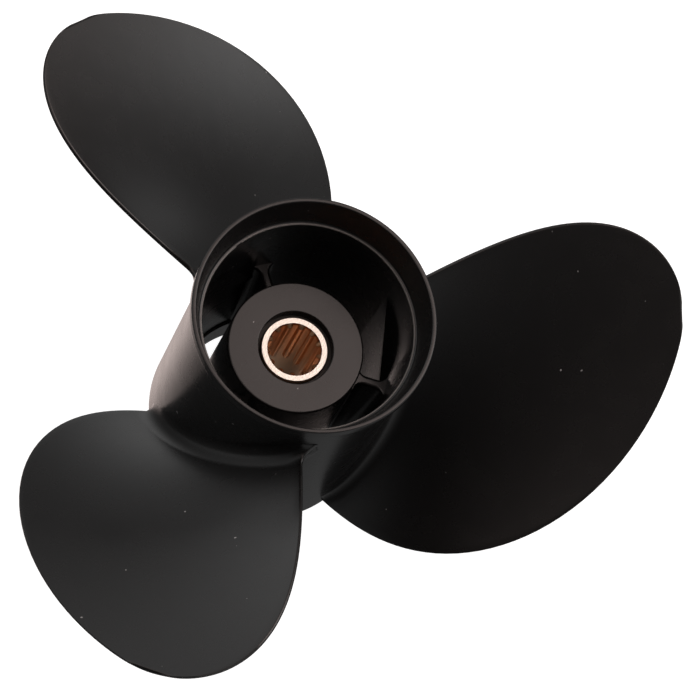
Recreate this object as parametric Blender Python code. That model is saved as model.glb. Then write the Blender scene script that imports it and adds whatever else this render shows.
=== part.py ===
"""A three-blade propeller for an outboard motor: one aluminium casting, and the rubber bushing and
splined brass sleeve that are pressed into its inner hub.

The shaft axis is Z and aft is up, so the propeller stands on the forward end of its barrel. The
origin is on the axis, in the plane of that end. Lengths are in metres, angles in degrees, and
angles about the axis run counterclockwise as seen from aft."""

import math

import bmesh
import bpy

# The barrel, which carries the blades and is the outer wall of the exhaust passage
BARREL_LENGTH = 0.118
BARREL_RADIUS = 0.0435
BORE_FRONT_RADIUS = 0.0356
FRONT_LIP_RADIUS = 0.0346
FRONT_LIP_LENGTH = 0.0155
RIM_RADIUS = 0.0465
RIM_MOUTH_RADIUS = 0.0448
RIM_LENGTH = 0.0045
FLARE_LENGTH = 0.011
MOUTH_DEPTH = 0.0127
MOUTH_FLOOR_RADIUS = 0.0416
MOUTH_STEP_RADIUS = 0.0404

# The inner hub, with the lip that its aft face is
HUB_RADIUS = 0.0263
HUB_FRONT_RADIUS = 0.0269
HUB_BORE_RADIUS = 0.0214
HUB_AFT_DEPTH = 0.0374
HUB_FRONT_HEIGHT = 0.012
HUB_LIP_THICKNESS = 0.0046
HUB_LIP_HOLE_RADIUS = 0.0145

# The ribs between the inner hub and the barrel
RIB_COUNT = 3
RIB_THICKNESS = 0.0038
RIB_FRONT_HEIGHT = 0.006
RIB_AFT_DEPTH = 0.049
RIB_LAG = 22.5
RIB_FILLET = 0.004
RIB_FILLET_STEPS = 5
RIB_ROOT_OVERLAP = 0.002

# The blades
BLADE_COUNT = 3
FIRST_BLADE_ANGLE = 9.7
TIP_RADIUS = 0.1475
ROOT_RADIUS = 0.0422
MIDDLE_RADIUS = 0.0905
PITCH = 0.325
PITCH_GROWTH = 6.1
MIDDLE_DEPTH = 0.0299
RAKE_SLOPE = 0.328
RAKE_CURL = 0.84
CAMBER = 0.0082
CAMBER_GROWTH = 0.089
ROOT_THICKNESS = 0.0095
TIP_THICKNESS = 0.0034
EDGE_THICKNESS = 0.0020
ROOT_FILLET = 0.0072
TRAILING_REACH = 0.0049
CHORD_STEPS = 10
FILLET_STEPS = 4
SPAN_STEPS = 13

# The two edges of a blade, as tip angle, sweep back to the root, fullness and roundness
LEADING_EDGE = (-3.75, -61.0, 3.06, 0.849)
TRAILING_EDGE = (-1.24, 21.5, 3.77, 0.509)

# The pressed-in pieces
SEAT_GAP = 0.0003
SLEEVE_RADIUS = 0.0128
SLEEVE_AFT_DEPTH = 0.0398
SLEEVE_FRONT_HEIGHT = 0.009
SLEEVE_MOUTH_RADIUS = 0.0106
SLEEVE_MOUTH_DEPTH = 0.0012
SLEEVE_BORE_RADIUS = 0.0104
SLEEVE_BORE_MOUTH_RADIUS = 0.0110
SPLINE_COUNT = 13
FIRST_SPLINE_ANGLE = 18.5
SPLINE_TIP_RADIUS = 0.0089
SPLINE_ROOT_RADIUS = 0.0102
SPLINE_LAND = 0.24
SPLINE_BASE = 0.60
SPLINE_END_DEPTH = 0.0740
BUSHING_FRONT_HEIGHT = 0.016

ROUND_STEPS = 60
CORNER_STEPS = 3
SMALL_CORNER = 0.0015


def material(name, colour, roughness, metallic):
    made = bpy.data.materials.new(name)
    made.use_nodes = True
    shader = made.node_tree.nodes["Principled BSDF"]
    shader.inputs["Base Color"].default_value = (*colour, 1)
    shader.inputs["Roughness"].default_value = roughness
    shader.inputs["Metallic"].default_value = metallic
    return made


def show(name, mesh, finish, smooth_below=35):
    made = bpy.data.objects.new(name, mesh)
    bpy.context.scene.collection.objects.link(made)
    mesh.materials.append(finish)
    mesh.shade_smooth()
    mesh.set_sharp_from_angle(angle=math.radians(smooth_below))
    return made


def hide(shape):
    """Leaves a shape to the union that takes it in."""
    shape.hide_render = True
    shape.display_type = "WIRE"
    return shape


def finished(shape_mesh, name):
    bmesh.ops.remove_doubles(shape_mesh, verts=shape_mesh.verts, dist=1e-7)
    bmesh.ops.recalc_face_normals(shape_mesh, faces=shape_mesh.faces)
    mesh = bpy.data.meshes.new(name)
    shape_mesh.to_mesh(mesh)
    shape_mesh.free()
    return mesh


def rounded(corners):
    """The points of a closed outline of (x, y, corner radius): a large radius as an arc, a small one
    as a chamfer."""
    points = []
    for index, (x, y, radius) in enumerate(corners):
        if not radius:
            points.append((x, y))
            continue
        before = corners[index - 1]
        after = corners[(index + 1) % len(corners)]
        inward = math.atan2(before[1] - y, before[0] - x)
        outward = math.atan2(after[1] - y, after[0] - x)
        turn = (outward - inward + math.pi) % math.tau - math.pi
        reach = radius / abs(math.tan(turn / 2))
        start = (x + reach * math.cos(inward), y + reach * math.sin(inward))
        end = (x + reach * math.cos(outward), y + reach * math.sin(outward))
        steps = CORNER_STEPS if radius > SMALL_CORNER else 1
        for step in range(steps + 1):
            share = step / steps
            points.append(
                tuple(
                    (1 - share) ** 2 * a + 2 * share * (1 - share) * b + share**2 * c
                    for a, b, c in zip(start, (x, y), end)
                )
            )
    return points


def turned(name, corners):
    """A ring turned about Z from a closed outline of (radius, height, corner radius)."""
    shape = bmesh.new()
    points = [shape.verts.new((radius, 0, height)) for radius, height in rounded(corners)]
    edges = [shape.edges.new((points[i - 1], points[i])) for i in range(len(points))]
    bmesh.ops.spin(
        shape,
        geom=points + edges,
        cent=(0, 0, 0),
        axis=(0, 0, 1),
        angle=math.tau,
        steps=ROUND_STEPS,
        use_merge=True,
    )
    return finished(shape, name)


def fillet(distance, radius):
    """How far a concave fillet stands off a face, at a distance up the wall that it runs into."""
    if distance >= radius:
        return 0.0
    return radius - math.sqrt(radius**2 - (radius - max(distance, 0)) ** 2)


def barrel():
    top = BARREL_LENGTH
    corners = [
        (BARREL_RADIUS, 0, 0.001),
        (BARREL_RADIUS, top - FLARE_LENGTH, 0.006),
        (RIM_RADIUS, top - RIM_LENGTH, 0.003),
        (RIM_RADIUS, top, 0.0005),
        (RIM_MOUTH_RADIUS, top, 0.0004),
        (MOUTH_FLOOR_RADIUS, top - MOUTH_DEPTH, 0),
        (MOUTH_STEP_RADIUS, top - MOUTH_DEPTH, 0.0004),
        (BORE_FRONT_RADIUS, FRONT_LIP_LENGTH, 0),
        (FRONT_LIP_RADIUS, FRONT_LIP_LENGTH, 0.0004),
        (FRONT_LIP_RADIUS, 0, 0.0008),
    ]
    return turned("barrel", corners)


def inner_hub():
    aft = BARREL_LENGTH - HUB_AFT_DEPTH
    lip = aft - HUB_LIP_THICKNESS
    corners = [
        (HUB_FRONT_RADIUS, HUB_FRONT_HEIGHT, 0.001),
        (HUB_RADIUS, aft, 0.0006),
        (HUB_LIP_HOLE_RADIUS, aft, 0.0003),
        (HUB_LIP_HOLE_RADIUS, lip, 0),
        (HUB_BORE_RADIUS, lip, 0),
        (HUB_BORE_RADIUS, HUB_FRONT_HEIGHT, 0.0008),
    ]
    return turned("inner_hub", corners)


def tapered(height, front, aft):
    """The radius at a height of a cast wall that tapers evenly between two (radius, height) ends."""
    share = (height - front[1]) / (aft[1] - front[1])
    return front[0] + (aft[0] - front[0]) * share


def rib_outline(height):
    """A rib seen along the shaft, from inside the hub's wall to inside the barrel's, with a fillet at
    each end, as (distance out, offset to one side)."""
    hub_ends = (HUB_FRONT_RADIUS, HUB_FRONT_HEIGHT), (HUB_RADIUS, BARREL_LENGTH - HUB_AFT_DEPTH)
    near = tapered(height, *hub_ends)
    bore_ends = (BORE_FRONT_RADIUS, FRONT_LIP_LENGTH), (MOUTH_STEP_RADIUS, BARREL_LENGTH - MOUTH_DEPTH)
    far = tapered(height, *bore_ends)
    steps = [i / RIB_FILLET_STEPS for i in range(RIB_FILLET_STEPS + 1)]
    distances = [near - RIB_ROOT_OVERLAP]
    distances += [near + RIB_FILLET * (1 - math.cos(step * math.pi / 2)) for step in steps]
    distances += [far - RIB_FILLET * (1 - math.sin(step * math.pi / 2)) for step in steps]
    distances += [far + RIB_ROOT_OVERLAP]
    side = []
    for distance in distances:
        half = RIB_THICKNESS / 2 + fillet(distance - near, RIB_FILLET) + fillet(far - distance, RIB_FILLET)
        side.append((distance, half))
    return side + [(x, -y) for x, y in reversed(side)]


def rib(angle):
    """A straight rib across the exhaust passage."""
    cosine = math.cos(math.radians(angle))
    sine = math.sin(math.radians(angle))
    shape = bmesh.new()
    rings = []
    for height in (RIB_FRONT_HEIGHT, BARREL_LENGTH - RIB_AFT_DEPTH):
        rings.append(
            [
                shape.verts.new((x * cosine - y * sine, x * sine + y * cosine, height))
                for x, y in rib_outline(height)
            ]
        )
    front, aft = rings
    for i in range(len(front)):
        shape.faces.new((front[i - 1], front[i], aft[i], aft[i - 1]))
    shape.faces.new(front)
    shape.faces.new(aft)
    return finished(shape, "rib")


def edge_angle(edge, radius):
    tip_angle, sweep, fullness, roundness = edge
    share = min(radius / TIP_RADIUS, 1.0)
    return tip_angle + sweep * (1 - share**fullness) ** roundness


def blade_height(radius, angle):
    """Height of a blade's aft face: a screw surface that is raked aft, and hollow along its chord."""
    outward = radius - MIDDLE_RADIUS
    turn = math.radians(angle)
    rake = RAKE_SLOPE * outward - RAKE_CURL * outward**2
    pitch = PITCH + PITCH_GROWTH * outward**2
    hollow = (CAMBER + CAMBER_GROWTH * outward) * turn**2
    return BARREL_LENGTH - MIDDLE_DEPTH + rake + pitch * turn / math.tau - hollow


def blade_section(radius):
    """One closed cylindrical section of a blade, as (angle, height), aft face first."""
    lead = edge_angle(LEADING_EDGE, radius)
    trail = edge_angle(TRAILING_EDGE, radius)
    flare = fillet(radius - BARREL_RADIUS, ROOT_FILLET)
    last = trail + math.degrees(min(flare, TRAILING_REACH) / radius)
    share_out = (radius - ROOT_RADIUS) / (TIP_RADIUS - ROOT_RADIUS)
    thickest = ROOT_THICKNESS + (TIP_THICKNESS - ROOT_THICKNESS) * share_out
    aft = []
    forward = []
    for step in range(CHORD_STEPS + 1):
        share = step / CHORD_STEPS
        angle = lead + (last - lead) * share
        slope = (blade_height(radius, angle + 0.1) - blade_height(radius, angle - 0.1)) / 0.2
        along = radius * math.radians(1)
        length = math.hypot(along, slope)
        bulge = 4 * share * (1 - share)
        thickness = EDGE_THICKNESS + (thickest - EDGE_THICKNESS) * bulge
        spread = flare * math.sqrt(1 - abs(2 * share - 1) ** 8)
        for side, offset in ((aft, spread), (forward, -thickness - spread)):
            turn = math.degrees(-slope / length * offset / radius)
            side.append((angle + turn, blade_height(radius, angle) + along / length * offset))
    rounding = math.degrees(EDGE_THICKNESS / 2 / radius)
    ends = []
    for a, b, way in ((aft[-1], forward[-1], 1), (aft[0], forward[0], -1)):
        ends.append(((a[0] + b[0]) / 2 + way * rounding, (a[1] + b[1]) / 2))
    return aft + [ends[0]] + forward[::-1] + [ends[1]]


def blade(centre_angle):
    fillets = [i / FILLET_STEPS for i in range(FILLET_STEPS + 1)]
    spans = [i / SPAN_STEPS for i in range(1, SPAN_STEPS + 1)]
    fillet_top = BARREL_RADIUS + ROOT_FILLET
    radii = [ROOT_RADIUS]
    radii += [BARREL_RADIUS + ROOT_FILLET * (1 - math.cos(i * math.pi / 2)) for i in fillets]
    radii += [fillet_top + (TIP_RADIUS - fillet_top) * math.sin(i * math.pi / 2) for i in spans]
    shape = bmesh.new()
    rings = []
    for radius in radii:
        ring = []
        for angle, height in blade_section(radius):
            turn = math.radians(centre_angle + angle)
            ring.append(shape.verts.new((radius * math.cos(turn), radius * math.sin(turn), height)))
        rings.append(ring)
    for inner, outer in zip(rings, rings[1:]):
        for i in range(len(inner)):
            shape.faces.new((inner[i - 1], inner[i], outer[i], outer[i - 1]))
    shape.faces.new(rings[0])
    shape.faces.new(rings[-1])
    return finished(shape, "blade")


def casting():
    """The barrel, the inner hub, the ribs and the blades are one casting, so they are one solid."""
    paint = material("satin_black_paint", (0.018, 0.017, 0.017), 0.38, 0.0)
    whole = show("propeller_casting", barrel(), paint)
    taken_in = [show("hub_shape", inner_hub(), paint)]
    for number in range(RIB_COUNT):
        angle = FIRST_BLADE_ANGLE - RIB_LAG + 360 * number / RIB_COUNT
        taken_in.append(show(f"rib_shape_{number + 1}", rib(angle), paint))
    for number in range(BLADE_COUNT):
        angle = FIRST_BLADE_ANGLE + 360 * number / BLADE_COUNT
        taken_in.append(show(f"blade_shape_{number + 1}", blade(angle), paint))
    for shape in taken_in:
        union = whole.modifiers.new(shape.name, "BOOLEAN")
        union.operation = "UNION"
        union.solver = "EXACT"
        union.object = hide(shape)
    return whole


def bushing():
    outer = HUB_BORE_RADIUS - SEAT_GAP
    inner = SLEEVE_RADIUS + SEAT_GAP
    aft = BARREL_LENGTH - HUB_AFT_DEPTH - HUB_LIP_THICKNESS - SEAT_GAP
    corners = [
        (outer, BUSHING_FRONT_HEIGHT, 0.001),
        (outer, aft, 0.0005),
        (inner, aft, 0),
        (inner, BUSHING_FRONT_HEIGHT, 0),
    ]
    rubber = material("black_rubber", (0.02, 0.02, 0.02), 0.75, 0.0)
    return show("rubber_bushing", turned("rubber_bushing", corners), rubber)


def sleeve_ring(shape, crest_radius, floor_radius, height):
    """One ring of points, four to a spline: the two ends of its land, then the two of the floor."""
    land = SPLINE_LAND / 2
    base = SPLINE_BASE / 2
    corners = (
        (-land, crest_radius),
        (land, crest_radius),
        (base, floor_radius),
        (1 - base, floor_radius),
    )
    ring = []
    for number in range(SPLINE_COUNT):
        for share, radius in corners:
            turn = math.radians(FIRST_SPLINE_ANGLE) + (number + share) * math.tau / SPLINE_COUNT
            ring.append(shape.verts.new((radius * math.cos(turn), radius * math.sin(turn), height)))
    return ring


def sleeve():
    """A brass tube with straight splines in the aft half of its bore and a plain bore ahead of them."""
    front = SLEEVE_FRONT_HEIGHT
    aft = BARREL_LENGTH - SLEEVE_AFT_DEPTH
    spline_end = BARREL_LENGTH - SPLINE_END_DEPTH
    shape = bmesh.new()
    rings = [
        sleeve_ring(shape, SLEEVE_RADIUS, SLEEVE_RADIUS, front),
        sleeve_ring(shape, SLEEVE_RADIUS, SLEEVE_RADIUS, aft),
        sleeve_ring(shape, SLEEVE_MOUTH_RADIUS, SLEEVE_MOUTH_RADIUS, aft),
        sleeve_ring(shape, SPLINE_TIP_RADIUS, SPLINE_ROOT_RADIUS, aft - SLEEVE_MOUTH_DEPTH),
        sleeve_ring(shape, SPLINE_TIP_RADIUS, SPLINE_ROOT_RADIUS, spline_end),
        sleeve_ring(shape, SLEEVE_BORE_RADIUS, SLEEVE_BORE_RADIUS, spline_end),
        sleeve_ring(shape, SLEEVE_BORE_RADIUS, SLEEVE_BORE_RADIUS, front + SLEEVE_MOUTH_DEPTH),
        sleeve_ring(shape, SLEEVE_BORE_MOUTH_RADIUS, SLEEVE_BORE_MOUTH_RADIUS, front),
    ]
    for ring, after in zip(rings, rings[1:] + rings[:1]):
        for i in range(len(ring)):
            shape.faces.new((ring[i - 1], ring[i], after[i], after[i - 1]))
    brass = material("brass", (0.72, 0.50, 0.26), 0.3, 1.0)
    return show("splined_sleeve", finished(shape, "splined_sleeve"), brass)


for old in list(bpy.data.objects):
    bpy.data.objects.remove(old)
casting()
bushing()
sleeve()
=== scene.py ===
import math

import bmesh
import bpy
from mathutils import Matrix, Vector


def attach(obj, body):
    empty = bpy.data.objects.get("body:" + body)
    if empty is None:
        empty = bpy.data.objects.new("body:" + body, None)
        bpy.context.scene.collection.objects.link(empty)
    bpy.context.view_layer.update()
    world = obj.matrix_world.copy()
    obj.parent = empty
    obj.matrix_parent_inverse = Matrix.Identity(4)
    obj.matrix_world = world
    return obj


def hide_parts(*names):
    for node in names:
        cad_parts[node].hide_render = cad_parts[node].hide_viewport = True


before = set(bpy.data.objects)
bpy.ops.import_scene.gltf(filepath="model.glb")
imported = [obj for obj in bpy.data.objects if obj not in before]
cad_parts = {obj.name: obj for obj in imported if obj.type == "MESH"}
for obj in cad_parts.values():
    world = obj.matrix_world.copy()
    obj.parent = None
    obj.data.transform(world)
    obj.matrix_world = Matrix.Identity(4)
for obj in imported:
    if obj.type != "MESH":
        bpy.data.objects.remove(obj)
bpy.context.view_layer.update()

scene = bpy.context.scene

# The view is from aft and to one side of the shaft, through a long lens, so that the barrel's mouth
# faces the camera and the rims of its two ends look almost alike. The frame is turned by a third of
# a right angle.
AIM = Vector((0.01346, -0.01164, 0.118))
CAMERA_DISTANCE = 1.6768
CAMERA_AZIMUTH = -118.774
CAMERA_ELEVATION = 67.467
CAMERA_ROLL = 31.732

lens = bpy.data.cameras.new("camera")
lens.sensor_width = 36.0
lens.lens = 232.4
lens.clip_start = 0.1
lens.clip_end = 50.0
camera = bpy.data.objects.new("camera", lens)
scene.collection.objects.link(camera)
stand = (
    Matrix.Rotation(math.radians(CAMERA_AZIMUTH + 90), 4, "Z")
    @ Matrix.Rotation(math.radians(90 - CAMERA_ELEVATION), 4, "X")
    @ Matrix.Rotation(math.radians(CAMERA_ROLL), 4, "Z")
)
camera.matrix_world = Matrix.Translation(AIM + stand @ Vector((0, 0, CAMERA_DISTANCE))) @ stand
scene.camera = camera


# The casting is the barrel, the inner hub, three ribs and three blades, poured as one piece of
# aluminium alloy. Its mouth and its bore are turned on a lathe, and it is then sprayed satin black.
BARREL_LENGTH = 0.118
BARREL_RADIUS = 0.0435
BORE_FRONT_RADIUS = 0.0356
FRONT_LIP_RADIUS = 0.0346
FRONT_LIP_LENGTH = 0.0155
RIM_RADIUS = 0.0465
RIM_MOUTH_RADIUS = 0.0448
RIM_LENGTH = 0.0045
FLARE_LENGTH = 0.011
MOUTH_DEPTH = 0.0127
MOUTH_FLOOR_RADIUS = 0.0416
MOUTH_STEP_RADIUS = 0.0404
TURNED_STEPS = 240


def closed_skin(rings, filled_ends=False):
    """A closed skin over rings of points: each ring is joined to the next. The last is joined to the
    first, or else the two end rings are filled."""
    skin = bmesh.new()
    loops = [[skin.verts.new(point) for point in ring] for ring in rings]
    pairs = list(zip(loops, loops[1:]))
    if filled_ends:
        skin.faces.new(loops[0])
        skin.faces.new(loops[-1])
    else:
        pairs.append((loops[-1], loops[0]))
    for ring, after in pairs:
        for i in range(len(ring)):
            skin.faces.new((ring[i - 1], ring[i], after[i], after[i - 1]))
    bmesh.ops.recalc_face_normals(skin, faces=skin.faces)
    mesh = bpy.data.meshes.new("skin")
    skin.to_mesh(mesh)
    skin.free()
    return mesh


def placed(name, mesh):
    made = bpy.data.objects.new(name, mesh)
    scene.collection.objects.link(made)
    return made


def rounded(corners):
    """The points of a closed outline of (x, y, corner radius), with its corners rounded."""
    points = []
    for index, (x, y, radius) in enumerate(corners):
        if not radius:
            points.append((x, y))
            continue
        corner = Vector((x, y))
        inward = (Vector(corners[index - 1][:2]) - corner).normalized()
        outward = (Vector(corners[(index + 1) % len(corners)][:2]) - corner).normalized()
        half_angle = inward.angle(outward) / 2
        reach = radius / math.tan(half_angle)
        centre = corner + (inward + outward).normalized() * radius / math.sin(half_angle)
        start = corner + inward * reach - centre
        end = corner + outward * reach - centre
        sweep = start.angle_signed(end)
        steps = 3 + round(radius / 0.001)
        for step in range(steps + 1):
            turn = -sweep * step / steps
            point = centre + Matrix.Rotation(turn, 2) @ start
            points.append((point.x, point.y))
    return points


def turned(corners, steps=TURNED_STEPS):
    """The mesh of a ring turned about the shaft axis, from its outline of (radius, height, corner)."""
    rings = []
    for radius, height in rounded(corners):
        turns = [math.tau * step / steps for step in range(steps)]
        rings.append([(radius * math.cos(turn), radius * math.sin(turn), height) for turn in turns])
    return closed_skin(rings)


barrel = turned(
    [
        (BARREL_RADIUS, 0, 0.001),
        (BARREL_RADIUS, BARREL_LENGTH - FLARE_LENGTH, 0.012),
        (RIM_RADIUS, BARREL_LENGTH - RIM_LENGTH, 0.003),
        (RIM_RADIUS, BARREL_LENGTH, 0.0006),
        (RIM_MOUTH_RADIUS, BARREL_LENGTH, 0.0005),
        (MOUTH_FLOOR_RADIUS, BARREL_LENGTH - MOUTH_DEPTH, 0.0008),
        (MOUTH_STEP_RADIUS, BARREL_LENGTH - MOUTH_DEPTH, 0.0004),
        (BORE_FRONT_RADIUS, FRONT_LIP_LENGTH, 0.0003),
        (FRONT_LIP_RADIUS, FRONT_LIP_LENGTH, 0.0006),
        (FRONT_LIP_RADIUS, 0, 0.0008),
    ]
)

HUB_RADIUS = 0.0263
HUB_FRONT_RADIUS = 0.0269
HUB_BORE_RADIUS = 0.0214
HUB_AFT_DEPTH = 0.0374
HUB_FRONT_HEIGHT = 0.012
HUB_LIP_THICKNESS = 0.0046
HUB_LIP_HOLE_RADIUS = 0.0145
hub_aft = BARREL_LENGTH - HUB_AFT_DEPTH

inner_hub = turned(
    [
        (HUB_FRONT_RADIUS, HUB_FRONT_HEIGHT, 0.001),
        (HUB_RADIUS, hub_aft, 0.0008),
        (HUB_LIP_HOLE_RADIUS, hub_aft, 0.0004),
        (HUB_LIP_HOLE_RADIUS, hub_aft - HUB_LIP_THICKNESS, 0),
        (HUB_BORE_RADIUS, hub_aft - HUB_LIP_THICKNESS, 0),
        (HUB_BORE_RADIUS, HUB_FRONT_HEIGHT, 0.0008),
    ],
    160,
)

RIB_COUNT = 3
RIB_THICKNESS = 0.0038
RIB_FRONT_HEIGHT = 0.006
RIB_AFT_DEPTH = 0.049
RIB_LAG = 22.5
RIB_FILLET = 0.004
RIB_EDGE_RADIUS = 0.0014
RIB_ROOT_OVERLAP = 0.002


def fillet(distance, radius):
    """How far a concave fillet stands off a face, at a distance up the wall that it runs into."""
    if distance >= radius:
        return 0.0
    return radius - math.sqrt(radius**2 - (radius - max(distance, 0)) ** 2)


def tapered(height, front, aft):
    """The radius at a height of a cast wall that tapers evenly between two (radius, height) ends."""
    share = (height - front[1]) / (aft[1] - front[1])
    return front[0] + (aft[0] - front[0]) * share


def rib_outline(height, inset):
    """A rib seen along the shaft, from inside the hub's wall to inside the barrel's, with a fillet at
    each end, as (distance out, offset to one side)."""
    near = tapered(height, (HUB_FRONT_RADIUS, HUB_FRONT_HEIGHT), (HUB_RADIUS, hub_aft))
    bore_ends = (BORE_FRONT_RADIUS, FRONT_LIP_LENGTH), (MOUTH_STEP_RADIUS, BARREL_LENGTH - MOUTH_DEPTH)
    far = tapered(height, *bore_ends)
    ease = [math.sin(math.pi / 2 * step / 10) for step in range(11)]
    reach = [near - RIB_ROOT_OVERLAP]
    reach += [near + RIB_FILLET * (1 - share) for share in reversed(ease)]
    reach += [far - RIB_FILLET * (1 - share) for share in ease]
    reach += [far + RIB_ROOT_OVERLAP]
    side = []
    for distance in reach:
        flare = fillet(distance - near, RIB_FILLET) + fillet(far - distance, RIB_FILLET)
        side.append((distance, RIB_THICKNESS / 2 + flare - inset))
    return side + [(x, -y) for x, y in reversed(side)]


def rib(angle):
    """A straight rib across the exhaust passage, with its edges rounded."""
    across = Matrix.Rotation(math.radians(angle), 3, "Z")
    aft = BARREL_LENGTH - RIB_AFT_DEPTH
    rings = []
    for end, inward in ((RIB_FRONT_HEIGHT, 1), (aft, -1)):
        level = []
        for step in range(6):
            turn = math.pi / 2 * step / 5
            height = end + inward * RIB_EDGE_RADIUS * (1 - math.sin(turn))
            outline = rib_outline(height, RIB_EDGE_RADIUS * (1 - math.cos(turn)))
            level.append([across @ Vector((x, y, height)) for x, y in outline])
        rings += level if inward < 0 else level[::-1]
    return closed_skin(rings, filled_ends=True)


BLADE_COUNT = 3
FIRST_BLADE_ANGLE = 9.7
TIP_RADIUS = 0.1475
ROOT_RADIUS = 0.0422
MIDDLE_RADIUS = 0.0905
PITCH = 0.325
PITCH_GROWTH = 6.1
MIDDLE_DEPTH = 0.0299
RAKE_SLOPE = 0.328
RAKE_CURL = 0.84
CAMBER = 0.0082
CAMBER_GROWTH = 0.089
ROOT_THICKNESS = 0.0095
TIP_THICKNESS = 0.0034
EDGE_THICKNESS = 0.0020
ROOT_FILLET = 0.0072
TRAILING_REACH = 0.0049
CHORD_STEPS = 40
EDGE_STEPS = 6
FILLET_STEPS = 12
SPAN_STEPS = 44
TIP_STEPS = 4

# The two edges of a blade, as tip angle, sweep back to the root, fullness and roundness
LEADING_EDGE = (-3.75, -61.0, 3.06, 0.849)
TRAILING_EDGE = (-1.24, 21.5, 3.77, 0.509)


def edge_angle(edge, radius):
    tip_angle, sweep, fullness, roundness = edge
    share = min(radius / TIP_RADIUS, 1.0)
    return tip_angle + sweep * (1 - share**fullness) ** roundness


def blade_height(radius, angle):
    """Height of a blade's aft face: a screw surface that is raked aft, and hollow along its chord."""
    outward = radius - MIDDLE_RADIUS
    turn = math.radians(angle)
    rake = RAKE_SLOPE * outward - RAKE_CURL * outward**2
    pitch = PITCH + PITCH_GROWTH * outward**2
    hollow = (CAMBER + CAMBER_GROWTH * outward) * turn**2
    return BARREL_LENGTH - MIDDLE_DEPTH + rake + pitch * turn / math.tau - hollow


def rounded_end(aft, forward, way):
    """The half round that joins the two faces of a blade section at an edge, from aft to forward."""
    centre = (aft + forward) / 2
    half = aft - centre
    outward = Vector((half.y, -half.x)) * way
    turns = [math.pi * step / EDGE_STEPS for step in range(1, EDGE_STEPS)]
    return [centre + half * math.cos(turn) + outward * math.sin(turn) for turn in turns]


def blade_section(radius, fullness):
    """One closed cylindrical section of a blade, as points (arc length, height)."""
    lead = edge_angle(LEADING_EDGE, radius)
    trail = edge_angle(TRAILING_EDGE, radius)
    flare = fillet(radius - BARREL_RADIUS, ROOT_FILLET)
    last = trail + math.degrees(min(flare, TRAILING_REACH) / radius)
    share_out = (radius - ROOT_RADIUS) / (TIP_RADIUS - ROOT_RADIUS)
    thickest = ROOT_THICKNESS + (TIP_THICKNESS - ROOT_THICKNESS) * share_out
    aft = []
    forward = []
    for step in range(CHORD_STEPS + 1):
        share = step / CHORD_STEPS
        angle = lead + (last - lead) * share
        arc = radius * math.radians(angle)
        rise = blade_height(radius, angle + 0.1) - blade_height(radius, angle - 0.1)
        along = Vector((radius * math.radians(0.2), rise)).normalized()
        aftward = Vector((-along.y, along.x))
        face = Vector((arc, blade_height(radius, angle)))
        thickness = EDGE_THICKNESS + (thickest - EDGE_THICKNESS) * 4 * share * (1 - share)
        spread = flare * math.sqrt(1 - abs(2 * share - 1) ** 8)
        trim = thickness * (1 - fullness) / 2
        aft.append(face + aftward * (spread - trim))
        forward.append(face - aftward * (thickness + spread - trim))
    trailing = rounded_end(aft[-1], forward[-1], 1)
    leading = rounded_end(aft[0], forward[0], -1)
    return aft + trailing + forward[::-1] + leading[::-1]


def blade(centre_angle):
    quarter = math.pi / 2
    fillet_top = BARREL_RADIUS + ROOT_FILLET
    tip_start = TIP_RADIUS - EDGE_THICKNESS / 2
    sections = [(ROOT_RADIUS, 1.0)]
    for step in range(FILLET_STEPS + 1):
        turn = quarter * step / FILLET_STEPS
        sections.append((BARREL_RADIUS + ROOT_FILLET * (1 - math.cos(turn)), 1.0))
    for step in range(1, SPAN_STEPS + 1):
        turn = quarter * step / SPAN_STEPS
        sections.append((fillet_top + (tip_start - fillet_top) * math.sin(turn), 1.0))
    for step in range(1, TIP_STEPS + 1):
        turn = 0.85 * quarter * step / TIP_STEPS
        sections.append((tip_start + EDGE_THICKNESS / 2 * math.sin(turn), math.cos(turn)))
    rings = []
    for radius, fullness in sections:
        ring = []
        for arc, height in blade_section(radius, fullness):
            turn = math.radians(centre_angle) + arc / radius
            ring.append((radius * math.cos(turn), radius * math.sin(turn), height))
        rings.append(ring)
    return closed_skin(rings, filled_ends=True)


def joined(name, meshes):
    """One closed mesh of several that overlap."""
    whole = placed(name, meshes[0])
    others = [placed("shape", mesh) for mesh in meshes[1:]]
    for other in others:
        union = whole.modifiers.new("union", "BOOLEAN")
        union.operation = "UNION"
        union.solver = "MANIFOLD"
        union.object = other
    bpy.context.view_layer.update()
    evaluated = whole.evaluated_get(bpy.context.evaluated_depsgraph_get())
    whole_mesh = bpy.data.meshes.new_from_object(evaluated)
    whole.modifiers.clear()
    whole.data = whole_mesh
    for other in others:
        bpy.data.objects.remove(other)
    return whole


def smoothed(piece, sharp_above=35):
    """Smooth shading that leaves broad faces even, up to the rounding of their edges."""
    piece.data.shade_smooth()
    piece.data.set_sharp_from_angle(angle=math.radians(sharp_above))
    piece.modifiers.new("broad_faces", "WEIGHTED_NORMAL").keep_sharp = True


regions = [barrel, inner_hub]
for number in range(RIB_COUNT):
    regions.append(rib(FIRST_BLADE_ANGLE - RIB_LAG + 360 * number / RIB_COUNT))
for number in range(BLADE_COUNT):
    regions.append(blade(FIRST_BLADE_ANGLE + 360 * number / BLADE_COUNT))
casting = joined("casting", regions)
smoothed(casting)


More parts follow.
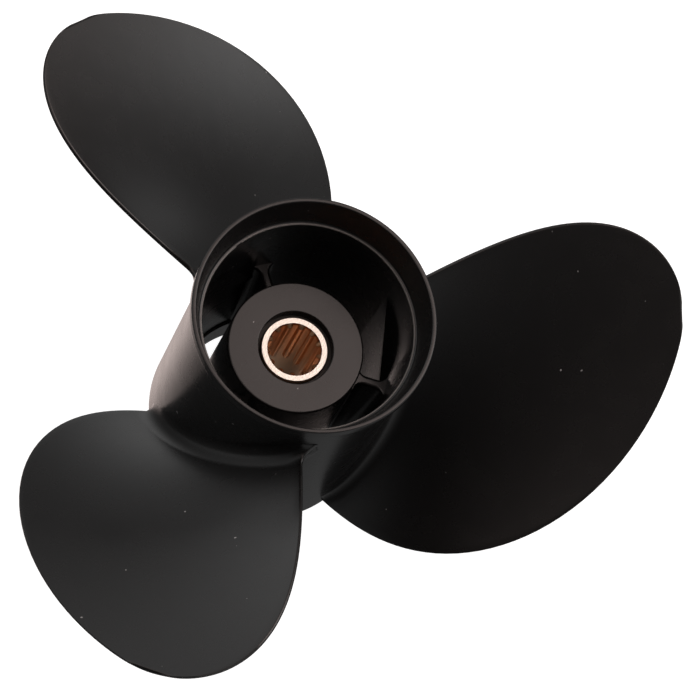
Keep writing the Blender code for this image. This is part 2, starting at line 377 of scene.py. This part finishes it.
class Wire:
    """An output of a material's nodes. Arithmetic on it adds the Math nodes that work it out."""

    def __init__(self, socket):
        self.socket = socket

    def node(self, kind, settings, sockets, output=0):
        """Any node, in the same material: its settings first, and then its sockets by name or number."""
        tree = self.socket.id_data
        made = tree.nodes.new("ShaderNode" + kind)
        for name, setting in settings.items():
            if name == "stops":
                ramp = made.color_ramp.elements
                while len(ramp) < len(setting):
                    ramp.new(1.0)
                for stop, (place, colour) in zip(ramp, setting):
                    stop.position = place
                    stop.color = colour
            else:
                setattr(made, name, setting)
        for name, given in sockets.items():
            if isinstance(given, Wire):
                tree.links.new(given.socket, made.inputs[name])
            else:
                made.inputs[name].default_value = given
        return Wire(made.outputs[output])

    def math(self, operation, *values):
        return self.node("Math", {"operation": operation}, dict(enumerate(values)))

    def __add__(self, other):
        return self.math("ADD", self, other)

    __radd__ = __add__

    def __mul__(self, other):
        return self.math("MULTIPLY", self, other)

    __rmul__ = __mul__

    def __sub__(self, other):
        return self.math("SUBTRACT", self, other)

    def __rsub__(self, other):
        return self.math("SUBTRACT", other, self)

    def distance(self, point):
        """How far this vector is from a point, which may vary too."""
        return self.node("VectorMath", {"operation": "DISTANCE"}, {0: self, 1: point}, 1)

    def noise(self, scale, detail=2.0, roughness=0.5):
        """Noise over this vector, from 0 to 1."""
        sockets = {"Vector": self, "Scale": scale, "Detail": detail, "Roughness": roughness}
        return self.node("TexNoise", {}, sockets)

    def step(self, low, high):
        """0 below low and 1 above high, with an even rise between them."""
        sockets = {"Value": self, "From Min": low, "From Max": high}
        return self.node("MapRange", {"interpolation_type": "SMOOTHSTEP"}, sockets)

    def blend(self, colour, other):
        """From colour, where this is 0, to other, where it is 1."""
        colours = [c if isinstance(c, Wire) else (*c, 1.0) for c in (colour, other)]
        sockets = {0: self, 6: colours[0], 7: colours[1]}
        return self.node("Mix", {"data_type": "RGBA"}, sockets, 2)


def new_material(name):
    """A material, its shader, and the place on the piece in metres, as (material, shader, place)."""
    made = bpy.data.materials.new(name)
    made.use_nodes = True
    shader = made.node_tree.nodes["Principled BSDF"]
    place = made.node_tree.nodes.new("ShaderNodeTexCoord").outputs["Object"]
    return made, shader, Wire(place)


def connect(shader, values):
    """Sets a shader's sockets, by name, to numbers, colours or wires."""
    for name, value in values.items():
        if isinstance(value, Wire):
            shader.id_data.links.new(value.socket, shader.inputs[name])
        else:
            shader.inputs[name].default_value = value


# A thin line along the step inside the mouth is coloured lighter grey and made rougher, apart from one
# short gap, the nick
STEP_LINE_WIDTH = 0.0006
NICK_ANGLE = 132.0
NICK_WIDTH = 0.003


def satin_black_paint():
    made, shader, place = new_material("satin_black_paint")
    unevenness = place.noise(90, 3)
    orange_peel = place.noise(1100, 2)
    dust = place.noise(520, 0).step(0.885, 0.90)
    height = place.node("SeparateXYZ", {}, {0: place}, 2)
    axis_point = place.node("CombineXYZ", {}, {2: height})
    profile_place = place.node("CombineXYZ", {}, {0: place.distance(axis_point), 2: height})
    step_height = BARREL_LENGTH - MOUTH_DEPTH
    off_step = profile_place.distance((MOUTH_STEP_RADIUS, 0, step_height))
    nick_turn = Matrix.Rotation(math.radians(NICK_ANGLE), 3, "Z")
    off_nick = place.distance(nick_turn @ Vector((MOUTH_STEP_RADIUS, 0, step_height)))
    # Lighter grey and rougher along the step inside the mouth, except at the nick
    step_line = (1 - off_step.step(STEP_LINE_WIDTH / 2, STEP_LINE_WIDTH)) * off_nick.step(
        NICK_WIDTH * 0.4, NICK_WIDTH * 0.6
    )
    colour = unevenness.blend((0.0075, 0.0073, 0.0073), (0.0085, 0.0082, 0.0082))
    colour = dust.blend(colour, (0.30, 0.30, 0.30))
    colour = (step_line * 0.8).blend(colour, (0.20, 0.19, 0.18))
    relief = unevenness * 0.12 + orange_peel * 0.008
    bump = place.node("Bump", {}, {"Strength": 0.25, "Distance": 0.001, "Height": relief})
    roughness = unevenness * 0.06 + 0.24 + step_line * 0.15
    connect(shader, {"Base Color": colour, "Roughness": roughness, "Normal": bump})
    return made


casting.data.materials.clear()
casting.data.materials.append(satin_black_paint())
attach(casting, "root")
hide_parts("propeller_casting")


# The rubber bushing is moulded on to the sleeve and pressed into the casting from its forward end.
# Only its ends show, inside the inner hub.
SEAT_GAP = 0.0003
SLEEVE_RADIUS = 0.0128
BUSHING_FRONT_HEIGHT = 0.016
bushing_aft = hub_aft - HUB_LIP_THICKNESS - SEAT_GAP

bushing = placed(
    "bushing",
    turned(
        [
            (HUB_BORE_RADIUS - SEAT_GAP, BUSHING_FRONT_HEIGHT, 0.001),
            (HUB_BORE_RADIUS - SEAT_GAP, bushing_aft, 0.0005),
            (SLEEVE_RADIUS + SEAT_GAP, bushing_aft, 0),
            (SLEEVE_RADIUS + SEAT_GAP, BUSHING_FRONT_HEIGHT, 0.0004),
        ],
        120,
    ),
)
smoothed(bushing)


def black_rubber():
    made, shader, place = new_material("black_rubber")
    cloud = place.noise(220, 3)
    bump = place.node("Bump", {}, {"Strength": 0.3, "Distance": 0.0006, "Height": cloud})
    colour = cloud.blend((0.030, 0.028, 0.026), (0.060, 0.055, 0.050))
    connect(shader, {"Base Color": colour, "Roughness": cloud * 0.2 + 0.6, "Normal": bump})
    return made


bushing.data.materials.append(black_rubber())
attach(bushing, "root")
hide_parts("rubber_bushing")


# The sleeve is a brass tube that turns the propeller: its ends are faced on a lathe, and straight
# splines are broached in the aft half of its bore. Its bore is dark with oil and handling.
SLEEVE_AFT_DEPTH = 0.0398
SLEEVE_FRONT_HEIGHT = 0.009
SLEEVE_MOUTH_RADIUS = 0.0106
SLEEVE_MOUTH_DEPTH = 0.0012
SLEEVE_BORE_RADIUS = 0.0104
SLEEVE_BORE_MOUTH_RADIUS = 0.0110
SPLINE_COUNT = 13
FIRST_SPLINE_ANGLE = 18.5
SPLINE_TIP_RADIUS = 0.0089
SPLINE_ROOT_RADIUS = 0.0102
SPLINE_LAND = 0.24
SPLINE_BASE = 0.60
SPLINE_END_DEPTH = 0.0740
SPLINE_POINTS = 20


def spline_ring(tip_radius, root_radius, height):
    """One ring of the sleeve's bore: lands at tip_radius, and floors between them at root_radius."""
    ring = []
    for step in range(SPLINE_COUNT * SPLINE_POINTS):
        share = (step / SPLINE_POINTS + 0.5) % 1 - 0.5
        from_land = (abs(share) * 2 - SPLINE_LAND) / (SPLINE_BASE - SPLINE_LAND)
        flank = min(max(from_land, 0.0), 1.0)
        radius = tip_radius + (root_radius - tip_radius) * flank * flank * (3 - 2 * flank)
        turn = math.radians(FIRST_SPLINE_ANGLE) + step / SPLINE_POINTS * math.tau / SPLINE_COUNT
        ring.append((radius * math.cos(turn), radius * math.sin(turn), height))
    return ring


def round_ring(radius, height):
    return spline_ring(radius, radius, height)


sleeve_aft = BARREL_LENGTH - SLEEVE_AFT_DEPTH
spline_end = BARREL_LENGTH - SPLINE_END_DEPTH
EDGE_BREAK = 0.0002
sleeve = placed(
    "sleeve",
    closed_skin(
        [
            round_ring(SLEEVE_RADIUS - EDGE_BREAK, SLEEVE_FRONT_HEIGHT),
            round_ring(SLEEVE_RADIUS, SLEEVE_FRONT_HEIGHT + EDGE_BREAK),
            round_ring(SLEEVE_RADIUS, sleeve_aft - EDGE_BREAK),
            round_ring(SLEEVE_RADIUS - EDGE_BREAK, sleeve_aft),
            round_ring(SLEEVE_MOUTH_RADIUS, sleeve_aft),
            spline_ring(SPLINE_TIP_RADIUS + 0.0001, SPLINE_ROOT_RADIUS, sleeve_aft - SLEEVE_MOUTH_DEPTH),
            spline_ring(SPLINE_TIP_RADIUS, SPLINE_ROOT_RADIUS, sleeve_aft - SLEEVE_MOUTH_DEPTH - 0.0002),
            spline_ring(SPLINE_TIP_RADIUS, SPLINE_ROOT_RADIUS, spline_end),
            round_ring(SLEEVE_BORE_RADIUS, spline_end - 0.0001),
            round_ring(SLEEVE_BORE_RADIUS, SLEEVE_FRONT_HEIGHT + SLEEVE_MOUTH_DEPTH),
            round_ring(SLEEVE_BORE_MOUTH_RADIUS, SLEEVE_FRONT_HEIGHT),
        ]
    ),
)
smoothed(sleeve)


def brass():
    made, shader, place = new_material("brass")
    cloud = place.noise(300, 3)
    height = place.node("SeparateXYZ", {}, {0: place}, 2)
    # The aft end face is coloured a pale, nearly white brass, unlike the rest of the sleeve
    pale_end_face = height.step(sleeve_aft - EDGE_BREAK, sleeve_aft - EDGE_BREAK / 2)
    colour = cloud.blend((0.80, 0.46, 0.25), (0.88, 0.54, 0.31))
    colour = pale_end_face.blend(colour, (0.72, 0.69, 0.63))
    bump = place.node("Bump", {}, {"Strength": 0.2, "Distance": 0.0004, "Height": place.noise(1500, 2)})
    connect(
        shader,
        {"Base Color": colour, "Metallic": 1.0, "Roughness": cloud * 0.15 + 0.25, "Normal": bump},
    )
    return made


sleeve.data.materials.append(brass())
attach(sleeve, "root")
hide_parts("splined_sleeve")


# The studio is a plain white floor that glows by itself, and soft lights all round, warm overhead and
# neutral at the sides. The floor shows behind the part and lays no light, shade or reflection on it.
FLOOR_SIZE = 12.0
FAINT_LIGHT = (0.004, 0.004, 0.004)
WARM = Vector((1.17, 0.97, 0.91))
NEUTRAL = Vector((1.0, 1.0, 1.0))

floor_mesh = bpy.data.meshes.new("floor")
half = FLOOR_SIZE / 2
floor_mesh.from_pydata(
    [(-half, -half, 0), (half, -half, 0), (half, half, 0), (-half, half, 0)], [], [(0, 1, 2, 3)]
)
floor = placed("floor", floor_mesh)
white_table, table_shader, _ = new_material("white_table")
connect(
    table_shader,
    {
        "Base Color": (0.4, 0.4, 0.4, 1.0),
        "Roughness": 0.9,
        "Specular IOR Level": 0.0,
        "Emission Color": (1.0, 1.0, 1.0, 1.0),
        "Emission Strength": 1.0,
    },
)
floor.data.materials.append(white_table)
floor.visible_diffuse = False
floor.visible_glossy = False
floor.visible_shadow = False

studio = bpy.data.worlds.new("studio")
studio.use_nodes = True
air = studio.node_tree
direction = Wire(air.nodes.new("ShaderNodeTexCoord").outputs["Generated"])


def with_soft_light(others, azimuth, elevation, tightness, colour):
    """The light from every direction once a round soft light, which fades out evenly, is added."""
    towards = Matrix.Rotation(math.radians(azimuth), 3, "Z") @ Vector(
        (math.cos(math.radians(elevation)), 0, math.sin(math.radians(elevation)))
    )
    facing = direction.node("VectorMath", {"operation": "DOT_PRODUCT"}, {0: direction, 1: towards}, 1)
    fall = (facing - 1) * tightness
    glow = fall.math("EXPONENT", fall)
    tinted = glow.node("VectorMath", {"operation": "SCALE"}, {0: colour, "Scale": glow})
    return tinted.node("VectorMath", {"operation": "ADD"}, {0: tinted, 1: others})


light = with_soft_light(FAINT_LIGHT, 30, 60, 18, WARM * 3.2)
light = with_soft_light(light, 180, 63, 35, WARM * 1.9)
light = with_soft_light(light, 12, 34, 45, NEUTRAL * 3.45)
light = with_soft_light(light, 130, 30, 11, NEUTRAL * 1.4)
light = with_soft_light(light, 42, 0, 42, NEUTRAL * 0.54)
light = with_soft_light(light, 180, -10, 8, NEUTRAL * 0.38)
light = with_soft_light(light, 320, -10, 3, NEUTRAL * 0.56)
light = with_soft_light(light, 90, -22, 11, NEUTRAL * 0.56)
light = with_soft_light(light, 108, -68, 45, WARM * 1.25)
air.links.new(light.socket, air.nodes["Background"].inputs["Color"])
scene.world = studio
scene.view_settings.view_transform = "Standard"
